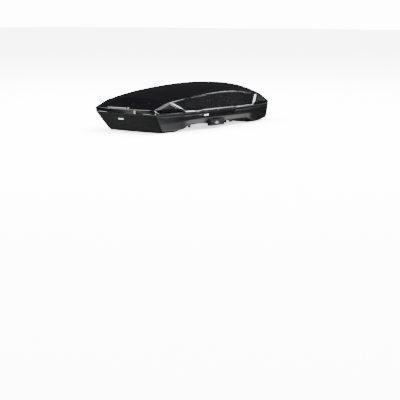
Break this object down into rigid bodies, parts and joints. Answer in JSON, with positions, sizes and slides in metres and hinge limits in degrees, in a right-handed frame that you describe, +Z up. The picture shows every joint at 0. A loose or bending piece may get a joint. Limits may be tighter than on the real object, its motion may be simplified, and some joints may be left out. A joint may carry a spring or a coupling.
{
  "type": "roof cargo box",
  "caption": "Long low car roof box with a tub-shaped base, a domed lid that opens from either side, and quick clamps for roof bars.",
  "frame": {"origin": "bottom centre of the box: on the keel's lowest face, under the middle of the length and the width", "axes": "+X to the car's right, +Y to the front, +Z up"},
  "size_m": [0.903, 2.09, 0.4235],
  "materials": {
    "gloss_black": "high gloss",
    "base_black": "fine grained satin",
    "trim_black": "grained",
    "lever_grey": "satin",
    "badge_silver": "satin silver",
    "rail_aluminium": "extruded",
    "steel_zinc": "zinc plated",
    "rod_chrome": "polished",
    "seal_rubber": "matt",
    "clamp_red": "satin",
    "strap_web": "woven webbing"
  },
  "bodies": {
    "base": {"base_shell": "base_black", "left_floor_rail": "steel_zinc", "right_floor_rail": "steel_zinc", "floor_rail_rivets": "rail_aluminium", "crossbar_pads": "seal_rubber", "rim_seal": "seal_rubber", "left_lock_housing": "trim_black", "right_lock_housing": "trim_black", "left_latch_guides": "trim_black", "right_latch_guides": "trim_black", "left_side_plate": "gloss_black", "right_side_plate": "gloss_black", "rear_badge": "badge_silver", "side_badges": "badge_silver", "front_strap": "strap_web", "rear_strap": "strap_web", "strap_anchors": "trim_black", "strap_buckles": "trim_black"},
    "left_key": {"left_key_cylinder": "rod_chrome"},
    "left_latch": {"left_release_lever": "lever_grey", "left_latch_bar": "steel_zinc"},
    "left_carriage": {"left_hinge_hooks": "steel_zinc", "left_hinge_pins": "rod_chrome", "left_carriage_rail": "rail_aluminium", "left_stay_arms": "steel_zinc"},
    "left_stay_tubes": {"left_stay_tubes": "trim_black"},
    "left_stay_rods": {"left_stay_rods": "rod_chrome"},
    "right_key": {"right_key_cylinder": "rod_chrome"},
    "right_latch": {"right_release_lever": "lever_grey", "right_latch_bar": "steel_zinc"},
    "right_carriage": {"right_hinge_hooks": "steel_zinc", "right_hinge_pins": "rod_chrome", "right_carriage_rail": "rail_aluminium", "right_stay_arms": "steel_zinc"},
    "right_stay_tubes": {"right_stay_tubes": "trim_black"},
    "right_stay_rods": {"right_stay_rods": "rod_chrome"},
    "lid": {"lid_shell": "gloss_black", "left_lid_rail": "rail_aluminium", "right_lid_rail": "rail_aluminium", "lid_stay_brackets": "steel_zinc", "lid_cross_beams": "rail_aluminium", "rear_lip": "gloss_black"},
    "rear_left_clamp": {"rear_left_clamp_body": "trim_black"},
    "rear_left_clamp_knob": {"rear_left_clamp_knob": "clamp_red"},
    "rear_left_clamp_jaw": {"rear_left_clamp_jaw": "steel_zinc"},
    "rear_right_clamp": {"rear_right_clamp_body": "trim_black"},
    "rear_right_clamp_knob": {"rear_right_clamp_knob": "clamp_red"},
    "rear_right_clamp_jaw": {"rear_right_clamp_jaw": "steel_zinc"},
    "front_left_clamp": {"front_left_clamp_body": "trim_black"},
    "front_left_clamp_knob": {"front_left_clamp_knob": "clamp_red"},
    "front_left_clamp_jaw": {"front_left_clamp_jaw": "steel_zinc"},
    "front_right_clamp": {"front_right_clamp_body": "trim_black"},
    "front_right_clamp_knob": {"front_right_clamp_knob": "clamp_red"},
    "front_right_clamp_jaw": {"front_right_clamp_jaw": "steel_zinc"}
  },
  "joints": [
    {"name": "lid_opens_right", "type": "hinge", "parent": "base", "child": "right_carriage", "pos_m": [-0.416, 0, 0.23], "axis": [0, -1, 0], "range_deg": [0, 48]},
    {"name": "lid_opens_left", "type": "hinge", "parent": "right_carriage", "child": "lid", "pos_m": [0.416, 0, 0.23], "axis": [0, -1, 0], "range_deg": [-48, 0]},
    {"name": "left_carriage_swing", "type": "hinge", "parent": "base", "child": "left_carriage", "pos_m": [0.416, 0, 0.23], "axis": [0, -1, 0], "range_deg": [-48, 0]},
    {"name": "left_stay_swing", "type": "hinge", "parent": "left_carriage", "child": "left_stay_tubes", "pos_m": [-0.2861, 0, 0.155], "axis": [0, -1, 0], "range_deg": [0, 24]},
    {"name": "left_stay_slide", "type": "slide", "parent": "left_stay_tubes", "child": "left_stay_rods", "axis": [0, 0, 1], "range_m": [0, 0.0929]},
    {"name": "right_stay_swing", "type": "hinge", "parent": "right_carriage", "child": "right_stay_tubes", "pos_m": [0.2861, 0, 0.155], "axis": [0, -1, 0], "range_deg": [-24, 0]},
    {"name": "right_stay_slide", "type": "slide", "parent": "right_stay_tubes", "child": "right_stay_rods", "axis": [0, 0, 1], "range_m": [0, 0.0929]},
    {"name": "left_latch_slide", "type": "slide", "parent": "base", "child": "left_latch", "axis": [0, 1, 0], "range_m": [-0.014, 0]},
    {"name": "left_key_turn", "type": "hinge", "parent": "base", "child": "left_key", "pos_m": [-0.44, -0.198, 0.059], "axis": [-1, 0, 0], "range_deg": [0, 90]},
    {"name": "right_latch_slide", "type": "slide", "parent": "base", "child": "right_latch", "axis": [0, 1, 0], "range_m": [-0.014, 0]},
    {"name": "right_key_turn", "type": "hinge", "parent": "base", "child": "right_key", "pos_m": [0.44, -0.198, 0.059], "axis": [1, 0, 0], "range_deg": [0, 90]},
    {"name": "rear_left_clamp_slide", "type": "slide", "parent": "base", "child": "rear_left_clamp", "axis": [0, 1, 0], "range_m": [-0.05, 0.05]},
    {"name": "rear_left_clamp_knob_turn", "type": "hinge", "parent": "rear_left_clamp", "child": "rear_left_clamp_knob", "pos_m": [-0.26, -0.383, 0.12], "axis": [0, 0, 1], "range_deg": [0, 360]},
    {"name": "rear_left_clamp_jaw_swing", "type": "hinge", "parent": "rear_left_clamp", "child": "rear_left_clamp_jaw", "pos_m": [-0.26, -0.327, 0.0723], "axis": [1, 0, 0], "range_deg": [0, 20]},
    {"name": "rear_right_clamp_slide", "type": "slide", "parent": "base", "child": "rear_right_clamp", "axis": [0, 1, 0], "range_m": [-0.05, 0.05]},
    {"name": "rear_right_clamp_knob_turn", "type": "hinge", "parent": "rear_right_clamp", "child": "rear_right_clamp_knob", "pos_m": [0.26, -0.383, 0.12], "axis": [0, 0, 1], "range_deg": [0, 360]},
    {"name": "rear_right_clamp_jaw_swing", "type": "hinge", "parent": "rear_right_clamp", "child": "rear_right_clamp_jaw", "pos_m": [0.26, -0.327, 0.0723], "axis": [1, 0, 0], "range_deg": [0, 20]},
    {"name": "front_left_clamp_slide", "type": "slide", "parent": "base", "child": "front_left_clamp", "axis": [0, 1, 0], "range_m": [-0.05, 0.05]},
    {"name": "front_left_clamp_knob_turn", "type": "hinge", "parent": "front_left_clamp", "child": "front_left_clamp_knob", "pos_m": [-0.26, 0.317, 0.12], "axis": [0, 0, 1], "range_deg": [0, 360]},
    {"name": "front_left_clamp_jaw_swing", "type": "hinge", "parent": "front_left_clamp", "child": "front_left_clamp_jaw", "pos_m": [-0.26, 0.373, 0.0723], "axis": [1, 0, 0], "range_deg": [0, 20]},
    {"name": "front_right_clamp_slide", "type": "slide", "parent": "base", "child": "front_right_clamp", "axis": [0, 1, 0], "range_m": [-0.05, 0.05]},
    {"name": "front_right_clamp_knob_turn", "type": "hinge", "parent": "front_right_clamp", "child": "front_right_clamp_knob", "pos_m": [0.26, 0.317, 0.12], "axis": [0, 0, 1], "range_deg": [0, 360]},
    {"name": "front_right_clamp_jaw_swing", "type": "hinge", "parent": "front_right_clamp", "child": "front_right_clamp_jaw", "pos_m": [0.26, 0.373, 0.0723], "axis": [1, 0, 0], "range_deg": [0, 20]}
  ],
  "couplings": [
    {"joint": "left_carriage_swing", "follows": "lid_opens_left", "ratio": 1},
    {"joint": "left_stay_swing", "follows": "lid_opens_right", "ratio": 0.5},
    {"joint": "left_stay_slide", "follows": "lid_opens_right", "m_per_rad": 0.11066},
    {"joint": "right_stay_swing", "follows": "lid_opens_left", "ratio": 0.5},
    {"joint": "right_stay_slide", "follows": "lid_opens_left", "m_per_rad": -0.11066},
    {"joint": "rear_left_clamp_jaw_swing", "follows": "rear_left_clamp_knob_turn", "ratio": 0.055556},
    {"joint": "rear_right_clamp_jaw_swing", "follows": "rear_right_clamp_knob_turn", "ratio": 0.055556},
    {"joint": "front_left_clamp_jaw_swing", "follows": "front_left_clamp_knob_turn", "ratio": 0.055556},
    {"joint": "front_right_clamp_jaw_swing", "follows": "front_right_clamp_knob_turn", "ratio": 0.055556}
  ]
}
